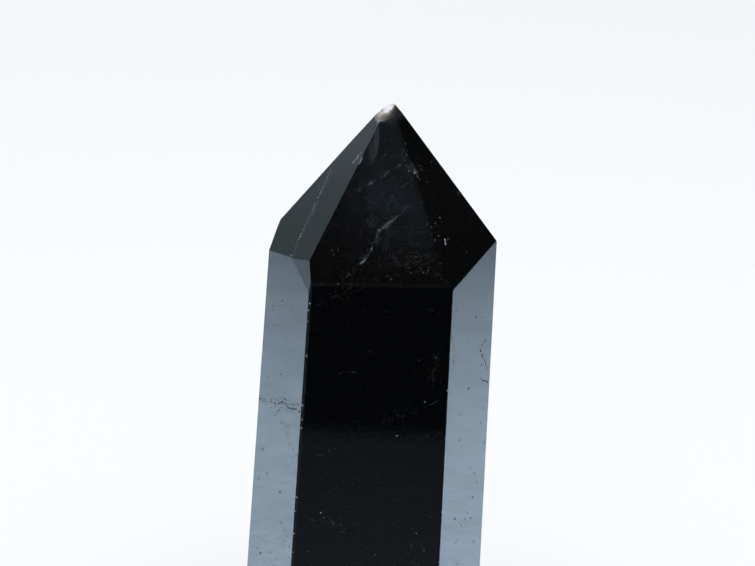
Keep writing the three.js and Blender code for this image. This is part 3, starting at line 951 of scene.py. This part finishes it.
def flake_tree():
    """Flat little flakes strewn in patches over sheets, each lying nearly along its sheet."""
    tree = new_tree("flakes on a sheet", {
        "Size": "Float", "Loose": "Float", "Tilt": "Float", "Patch": "Float", "Seed": "Int",
        "Stone": "Object", "Proud": "Float", "Material": "Material",
    })
    given = add(tree, "NodeGroupInput").outputs
    crowd, bright, run = (
        add(tree, "GeometryNodeInputNamedAttribute", {"Name": title}, data_type=kind)
        for title, kind in SHEET_CARRIES.items()
    )
    drawn = {}
    for title, part_of_seed, kind, low, high in (
        ("shift", 1, "FLOAT_VECTOR", (-1, -1, -1), (1, 1, 1)),
        ("tilt", 2, "FLOAT_VECTOR", (-1, -1, -1), (1, 1, 1)),
        ("size", 3, "FLOAT", 0.0, 1.0),
        ("stretch", 4, "FLOAT", 0.8, 2.2),
        ("luck", 6, "FLOAT", 0.0, 1.0),
        ("tone", 7, "FLOAT", 0.0, 1.0),
    ):
        own_seed = add(tree, "ShaderNodeMath", {0: given["Seed"], 1: part_of_seed}, operation="ADD")
        limits = {"Min": low, "Max": high, "Seed": own_seed}
        drawn[title] = add(tree, "FunctionNodeRandomValue", limits, data_type=kind)

    here = add(tree, "GeometryNodeInputPosition")
    to_square_mm = add(tree, "ShaderNodeMath", {0: crowd, 1: 1 / (MM * MM)}, operation="MULTIPLY")
    spots = add(tree, "GeometryNodeDistributePointsOnFaces", {
        "Mesh": given["Geometry"], "Density": to_square_mm, "Seed": given["Seed"],
    })
    # They lie in patches with bare ground between
    per_patch = add(tree, "ShaderNodeMath", {0: 1.0, 1: given["Patch"]}, operation="DIVIDE")
    patches = add(tree, "ShaderNodeTexNoise", {"Vector": here, "Scale": per_patch, "Detail": 2.0})
    share = add(tree, "ShaderNodeMapRange", {"Value": patches, "From Min": 0.42, "From Max": 0.62})
    missing = add(
        tree, "FunctionNodeCompare", {"A": drawn["luck"], "B": share},
        data_type="FLOAT", operation="GREATER_THAN",
    )
    kept = add(tree, "GeometryNodeDeleteGeometry", {"Geometry": spots, "Selection": missing})
    # Those that a nick or a scar has left standing in the air go too
    held = add(tree, "GeometryNodeObjectInfo", {"Object": given["Stone"]}).outputs["Geometry"]
    skin = add(tree, "GeometryNodeProximity", {"Geometry": held}, target_element="FACES")
    skin_out = add(
        tree, "GeometryNodeSampleNearestSurface",
        {"Mesh": held, "Value": add(tree, "GeometryNodeInputNormal")}, data_type="FLOAT_VECTOR",
    )
    lifted = add(tree, "ShaderNodeVectorMath", {0: here, 1: skin}, operation="SUBTRACT")
    height = add(tree, "ShaderNodeVectorMath", {0: lifted, 1: skin_out}, operation="DOT_PRODUCT")
    in_air = add(
        tree, "FunctionNodeCompare", {"A": height, "B": given["Proud"]},
        data_type="FLOAT", operation="GREATER_THAN",
    )
    inside = add(tree, "GeometryNodeDeleteGeometry", {"Geometry": kept, "Selection": in_air})

    # Most are dim and small, and a few are bright or large
    often_dim, often_small = (
        add(tree, "ShaderNodeMath", {0: drawn[title], 1: drawn[title]}, operation="MULTIPLY")
        for title in ("tone", "size")
    )
    brighter = add(tree, "ShaderNodeMapRange", {"Value": often_dim, "To Min": 0.5, "To Max": 1.6})
    tone = add(tree, "ShaderNodeMath", {0: brighter, 1: bright}, operation="MULTIPLY")
    toned = add(
        tree, "GeometryNodeStoreNamedAttribute", {"Geometry": inside, "Name": "tone", "Value": tone},
        data_type="FLOAT", domain="POINT",
    )
    shift = add(tree, "ShaderNodeVectorMath", {0: drawn["shift"], "Scale": given["Loose"]}, operation="SCALE")
    moved = add(tree, "GeometryNodeSetPosition", {"Geometry": toned, "Offset": shift})
    along = add(
        tree, "FunctionNodeAlignRotationToVector", {"Rotation": spots.outputs["Rotation"], "Vector": run},
        axis="X", pivot_axis="Z",
    )
    turn = add(tree, "ShaderNodeVectorMath", {0: drawn["tilt"], "Scale": given["Tilt"]}, operation="SCALE")
    lie = add(
        tree, "FunctionNodeRotateRotation", {"Rotation": along, "Rotate By": turn}, rotation_space="LOCAL"
    )
    larger = add(tree, "ShaderNodeMapRange", {"Value": often_small, "To Min": 0.4, "To Max": 1.4})
    size = add(tree, "ShaderNodeMath", {0: larger, 1: given["Size"]}, operation="MULTIPLY")
    length, width, thickness = (
        add(tree, "ShaderNodeMath", {0: size, 1: times}, operation="MULTIPLY")
        for times in (drawn["stretch"], FLAKE_WIDTH, FLAKE_THICKNESS)
    )
    flakes = add(tree, "GeometryNodeInstanceOnPoints", {
        "Points": moved,
        "Instance": add(tree, "GeometryNodeMeshUVSphere", {"Radius": 1.0, "Segments": 5, "Rings": 2}),
        "Rotation": lie,
        "Scale": add(tree, "ShaderNodeCombineXYZ", {0: length, 1: width, 2: thickness}),
    })
    real = add(tree, "GeometryNodeRealizeInstances", {"Geometry": flakes})
    finish = add(tree, "GeometryNodeSetMaterial", {"Geometry": real, "Material": given["Material"]})
    add(tree, "NodeGroupOutput", {"Geometry": finish})
    return tree


def healed_crack():
    """Tiny gas-filled gaps in quartz: bluish white where they are crowded, smoky where they are deep."""
    material = new_material("healed_crack")
    tree = material.node_tree
    place = add(tree, "ShaderNodeTexCoord").outputs["Object"]
    tone = add(tree, "ShaderNodeAttribute", attribute_name="tone").outputs["Fac"]
    light = add(tree, "ShaderNodeMath", {0: tone, 1: 2.2}, operation="POWER")
    patches = add(tree, "ShaderNodeTexNoise", {"Vector": place, "Scale": 1 / GAP_PATCH, "Detail": 2.0})
    tints = {"Factor": patches, "A": linear(GAP_BLUE), "B": linear(GAP_WHITE)}
    tint = add(tree, "ShaderNodeMix", tints, data_type="RGBA")
    surface = add(tree, "ShaderNodeBsdfPrincipled", {
        "Base Color": add(tree, "ShaderNodeVectorMath", {0: tint, "Scale": light}, operation="SCALE"),
        "Roughness": add(tree, "ShaderNodeMapRange", {"Value": patches, "To Min": 0.3, "To Max": 0.55}),
    })
    add(tree, "ShaderNodeOutputMaterial", {"Surface": surface})
    return material


flakes = flake_tree()
crack_material = healed_crack()
sheets = {title: [] for title in ("corners", "faces", *SHEET_CARRIES)}
for number, (face, half_width, crowd, bright, line) in enumerate(THREADS):
    thread(sheets, face, half_width, crowd, bright, line, number)
for number, (face, half_width, crowd, bright, line) in enumerate(FIELDS):
    ribbon(sheets, face, half_width, crowd, bright, wandering(line, number))
ridge_line = [spot_on(POINT_LEFT, place) for place in ridge_points]
thread(sheets, POINT_LEFT, 0.22, 220, 0.78, ridge_line[1:], 60)
ribbon(sheets, POINT_LEFT, 0.55, 90, 0.52, wandering(ridge_line[:3], 61))
ridge_beside = [Vector(spot_on(POINT_STRIP, place)) + Vector((0.35, 0)) for place in ridge_points]
ribbon(sheets, POINT_STRIP, 0.40, 240, 0.62, wandering(ridge_beside[:3], 63))
ribbon(sheets, POINT_STRIP, 0.30, 110, 0.48, wandering(ridge_beside[2:], 64))
for number, (face, bright, line) in enumerate(cracks_behind(CRACKS_BEHIND, 62)):
    thread(sheets, face, 0.08, 120, bright, line, 70 + number)
veils = carrying("healed_veils", sheets["corners"], [], sheets["faces"], SHEET_CARRIES, sheets)
grown(veils, flakes, {
    "Size": FLAKE_SIZE * MM, "Loose": 0.015 * MM, "Tilt": 0.25, "Patch": 0.9 * MM, "Seed": 21,
    "Stone": stone, "Proud": 0.01 * MM, "Material": crack_material,
})
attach(veils, "root")


def scattered_glints(name, glints, seed):
    """Single flakes, each a flattened crystal chip of its own turn and size, with a pale colour that stands
    in for its sparkle: a painted glint.
    """
    rng = random.Random(seed)
    shape = bmesh.new()
    tones = []
    for face, size, bright, spots in glints:
        flat = face["outward"].to_track_quat("Z", "Y").to_matrix().to_4x4()
        for across, up in spots:
            turned = Matrix.Rotation(rng.uniform(0, math.pi), 4, "Z")
            tilted = Matrix.Rotation(rng.uniform(-0.2, 0.3), 4, "X")
            sides = (size * rng.uniform(0.9, 1.6), size * rng.uniform(0.5, 0.8), size * 0.25, 1 / MM)
            sizes = Matrix.Diagonal(sides) * MM
            place = Matrix.Translation(on_face(face, across, up))
            laid = place @ flat @ turned @ tilted @ sizes
            bmesh.ops.create_icosphere(shape, subdivisions=1, radius=1, matrix=laid)
            tones += [bright * rng.uniform(0.89, 1.15)] * (len(shape.verts) - len(tones))
    made = as_object(shape, name)
    made.data.attributes.new("tone", "FLOAT", "POINT").data.foreach_set("value", tones)
    made.data.materials.append(crack_material)
    return made


glints = scattered_glints("glints", PAINTED_GLINTS, 22)
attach(glints, "root")


# ---- The studio ---------------------------------------------------------------------------------
# The stone stands on a pale table in a pale room, under one large soft light. The glow of the table
# and of the room that the polished walls mirror is set apart from both, so that it has its own
# strength and colour.

WORLD_TINT = (0.90, 0.935, 0.96, 1)
WORLD_STRENGTH = 0.90
TABLE_RADIUS = 1.2
TABLE_LEVEL = -0.05 * MM
TABLE_WHITE = (0.865, 0.865, 0.872, 1)
ROUND_STEPS = 96
GLOW_RADIUS = 0.9
GLOW_LEVEL = -0.2 * MM
GLOW_REACH = 0.160  # how far from the stone the mirrored table has lost most of its glow
GLOW_DIMMEST = 0.03
CLOTH = 7 * MM
WEAVE = 0.7 * MM
BLUISH_AHEAD = (0.77, 1, 1.22, 1)
BLUISH_BEHIND = (0.77, 1, 1.23, 1)
ROOM_RADIUS = 1.1
WALL_LOW = (0.112, 0.163, 0.168, 1)
WALL_HIGH = (0.21, 0.27, 0.30, 1)
SOFT_BOX_SIZE = 0.5
SOFT_BOX_POWER = 1.88
SOFT_BOX_WARMTH = (1.0, 0.99, 0.97)
SOFT_BOX_PLACE = (0, -0.14, 0.65)

world = bpy.data.worlds.new("pale room")
bpy.context.scene.world = world
world.use_nodes = True
world.node_tree.nodes.clear()
glow = add(world.node_tree, "ShaderNodeBackground", {"Color": WORLD_TINT, "Strength": WORLD_STRENGTH})
add(world.node_tree, "ShaderNodeOutputWorld", {"Surface": glow})
world.cycles_visibility.glossy = False
bpy.context.scene.view_settings.view_transform = "Standard"


def disc(name, radius, height):
    """A flat round sheet facing up."""
    shape = bmesh.new()
    bmesh.ops.create_circle(shape, cap_ends=True, segments=ROUND_STEPS, radius=radius)
    bmesh.ops.translate(shape, verts=shape.verts, vec=(0, 0, height))
    return placed(name, mesh_of(shape, name))


def only_mirrored(made):
    """Lets only mirrored rays see a card, so that it adds no light and casts no shade."""
    for ray in ("camera", "diffuse", "transmission", "volume_scatter", "shadow"):
        setattr(made, "visible_" + ray, False)


table = disc("table", TABLE_RADIUS, TABLE_LEVEL)
table.visible_glossy = False
table_material = new_material("pale table")
matt_white = add(table_material.node_tree, "ShaderNodeBsdfPrincipled", {
    "Base Color": TABLE_WHITE, "Roughness": 0.9, "Specular IOR Level": 0.0,
})
add(table_material.node_tree, "ShaderNodeOutputMaterial", {"Surface": matt_white})
table.data.materials.append(table_material)


def table_glow():
    """The bright table as the stone mirrors it: brightest just behind the stone, dim in front."""
    material = new_material("table glow")
    material.cycles.emission_sampling = "NONE"
    tree = material.node_tree
    place = add(tree, "ShaderNodeTexCoord").outputs["Object"]
    right, back, _ = add(tree, "ShaderNodeSeparateXYZ", {0: place}).outputs
    level = add(tree, "ShaderNodeCombineXYZ", {0: right, 1: back, 2: 0.0})
    away = add(tree, "ShaderNodeVectorMath", {0: level}, operation="LENGTH")
    cloth, weave = (
        add(tree, "ShaderNodeTexNoise", {"Vector": place, "Scale": 1 / size, "Detail": detail})
        for size, detail in ((CLOTH, 3.0), (WEAVE, 2.0))
    )
    by = {}
    for title, value, first, last, at_first, at_last, easing in (
        # Name, what it goes by, two limits of that, what it is at each of them, and how it gets there
        ("full", right, -0.030, 0.030, 1.86, 2.24, "SMOOTHSTEP"),
        ("uneven", cloth, 0.3, 0.7, 0.93, 1.07, "LINEAR"),
        ("fine", weave, 0.3, 0.7, 0.80, 1.20, "LINEAR"),
        ("further", away, 0.135, 0.160, 1.0, 0.88, "SMOOTHSTEP"),
        ("near", away, 0.045, 0.100, 0.87, 1.0, "SMOOTHSTEP"),
        ("far off", away, 0.20, 0.42, 0.60, 0.20, "SMOOTHSTEP"),
        ("ahead", back, -0.100, -0.012, 0.15, 0.32, "LINEAR"),
        ("ahead edge", back, -0.1112, -0.1064, 0.0, 1.0, "SMOOTHSTEP"),
        ("behind", back, -0.020, 0.020, 0.0, 1.0, "SMOOTHSTEP"),
    ):
        limits = {"Value": value, "From Min": first, "From Max": last, "To Min": at_first, "To Max": at_last}
        by[title] = add(tree, "ShaderNodeMapRange", limits, interpolation_type=easing)

    # A bell-shaped fall-off with distance
    share = add(tree, "ShaderNodeMath", {0: away, 1: GLOW_REACH}, operation="DIVIDE")
    squared = add(tree, "ShaderNodeMath", {0: share, 1: share}, operation="MULTIPLY")
    minus = add(tree, "ShaderNodeMath", {0: squared, 1: -1.0}, operation="MULTIPLY")
    behind = add(tree, "ShaderNodeMath", {0: minus}, operation="EXPONENT")
    for title in ("near", "full", "uneven", "fine", "further"):
        behind = add(tree, "ShaderNodeMath", {0: behind, 1: by[title]}, operation="MULTIPLY")
    behind = add(tree, "ShaderNodeMath", {0: behind, 1: by["far off"]}, operation="MAXIMUM")
    ahead = add(tree, "ShaderNodeMath", {0: by["ahead"], 1: by["ahead edge"]}, operation="MULTIPLY")
    ahead = add(tree, "ShaderNodeMath", {0: ahead, 1: GLOW_DIMMEST}, operation="MAXIMUM")
    strengths = {"Factor": by["behind"], "A": ahead, "B": behind}
    tints = {"Factor": by["behind"], "A": BLUISH_AHEAD, "B": BLUISH_BEHIND}
    light = add(tree, "ShaderNodeEmission", {
        "Color": add(tree, "ShaderNodeMix", tints, data_type="RGBA"),
        "Strength": add(tree, "ShaderNodeMix", strengths, data_type="FLOAT"),
    })
    add(tree, "ShaderNodeOutputMaterial", {"Surface": light})
    return material


glow_sheet = disc("table_glow", GLOW_RADIUS, GLOW_LEVEL)
glow_sheet.data.materials.append(table_glow())
only_mirrored(glow_sheet)


def room_glow():
    """The rest of the room as the stone mirrors it: dark, with a few soft pale patches."""
    material = new_material("room glow")
    material.cycles.emission_sampling = "NONE"
    tree = material.node_tree
    place = add(tree, "ShaderNodeTexCoord").outputs["Object"]
    way = add(tree, "ShaderNodeVectorMath", {0: place}, operation="NORMALIZE")
    right, back, up = add(tree, "ShaderNodeSeparateXYZ", {0: way}).outputs
    facing = {
        title: add(tree, "ShaderNodeVectorMath", {0: way, 1: direction}, operation="DOT_PRODUCT")
        for title, direction in (
            ("back left", Vector((-0.55, 0.62, 0.40)).normalized()),
            ("front left", Vector((-0.42, -0.65, 0.63)).normalized()),
            ("front", Vector((0.0, -0.99, 0.13)).normalized()),
            ("low back left", Vector((-0.65, 0.75, 0.0)).normalized()),
            ("slanting", Vector((1.447, 0.0, 1.0))),
        )
    }
    by = {}
    for title, value, first, last, at_first, at_last, easing in (
        # Name, what it goes by, two limits of that, what it is at each of them, and how it gets there
        ("back left", facing["back left"], 0.86, 0.98, 0.0, 1.0, "SMOOTHSTEP"),
        ("front left", facing["front left"], 0.930, 0.995, 0.0, 1.0, "SMOOTHSTEP"),
        ("front", facing["front"], 0.93, 0.99, 0.0, 1.0, "SMOOTHSTEP"),
        ("high", up, 0.652, 0.680, 0.0, 1.0, "LINEAR"),
        ("ahead", back, -0.45, -0.60, 0.0, 1.0, "SMOOTHSTEP"),
        ("pale wall", facing["low back left"], 0.75, 0.96, 0.0, 1.0, "SMOOTHSTEP"),
        ("above table", facing["slanting"], -0.845, -0.800, 0.0, 1.0, "LINEAR"),
        ("dimmer to the right", right, 0.10, 0.50, 1.0, 0.55, "SMOOTHSTEP"),
    ):
        limits = {"Value": value, "From Min": first, "From Max": last, "To Min": at_first, "To Max": at_last}
        by[title] = add(tree, "ShaderNodeMapRange", limits, interpolation_type=easing)

    # The glow high in front, which the front of the point mirrors, is stronger the higher it is. The
    # pale wall low behind on the left, which the left of the point mirrors, is dimmer low down.
    overhead = add(tree, "ShaderNodeMath", {0: by["high"], 1: by["ahead"]}, operation="MULTIPLY")
    share = add(tree, "ShaderNodeMath", {0: by["above table"], 1: by["above table"]}, operation="MULTIPLY")
    wall_shades = {"Factor": share, "A": WALL_LOW, "B": WALL_HIGH}
    wall = add(tree, "ShaderNodeMix", wall_shades, data_type="RGBA")
    total = None
    for shade, amount in (
        ((0.10, 0.12, 0.16), by["back left"]),
        ((0.45, 0.53, 0.64), by["front left"]),
        ((0.035, 0.04, 0.045), by["front"]),
        ((0.065, 0.105, 0.135), overhead),
        (wall, by["pale wall"]),
        ((0.05, 0.055, 0.06), by["dimmer to the right"]),
    ):
        patch = add(tree, "ShaderNodeVectorMath", {0: shade, "Scale": amount}, operation="SCALE")
        if total is None:
            total = patch
        else:
            total = add(tree, "ShaderNodeVectorMath", {0: total, 1: patch}, operation="ADD")
    light = add(tree, "ShaderNodeEmission", {"Color": total, "Strength": 1.0})
    add(tree, "ShaderNodeOutputMaterial", {"Surface": light})
    return material


shell = bmesh.new()
bmesh.ops.create_icosphere(shell, subdivisions=4, radius=ROOM_RADIUS)
room = placed("room_glow", mesh_of(shell, "room_glow"))
room.data.materials.append(room_glow())
only_mirrored(room)

soft_box = bpy.data.lights.new("soft box", "AREA")
soft_box.shape = "SQUARE"
soft_box.size = SOFT_BOX_SIZE
soft_box.energy = SOFT_BOX_POWER
soft_box.color = SOFT_BOX_WARMTH
placed("soft box", soft_box).location = SOFT_BOX_PLACE


# ---- The camera ---------------------------------------------------------------------------------
# It looks down on the upper part of the stone, with the front wall square on. It leans a little to
# one side, so that the stone stands slightly off upright in the view.

FILM_WIDTH = 36
FOCAL_LENGTH = 178.8
LOOK_DOWN = math.radians(24.5)
LEAN = math.radians(2.63)
AWAY = 420 * MM
AIM = Vector((0.413, -11.10, 63.53)) * MM

lens = bpy.data.cameras.new("camera")
lens.sensor_width = FILM_WIDTH
lens.lens = FOCAL_LENGTH
lens.clip_start = 0.02
lens.clip_end = 10
camera = placed("camera", lens)
bpy.context.scene.camera = camera
forward = Vector((0, math.cos(LOOK_DOWN), -math.sin(LOOK_DOWN)))
level_right = Vector((1, 0, 0))
level_up = level_right.cross(forward)
leaning_up = level_up * math.cos(LEAN) - level_right * math.sin(LEAN)
leaning_right = forward.cross(leaning_up)
camera.matrix_world = Matrix.Translation(AIM - forward * AWAY) @ Matrix(
    (leaning_right, leaning_up, -forward)
).transposed().to_4x4()
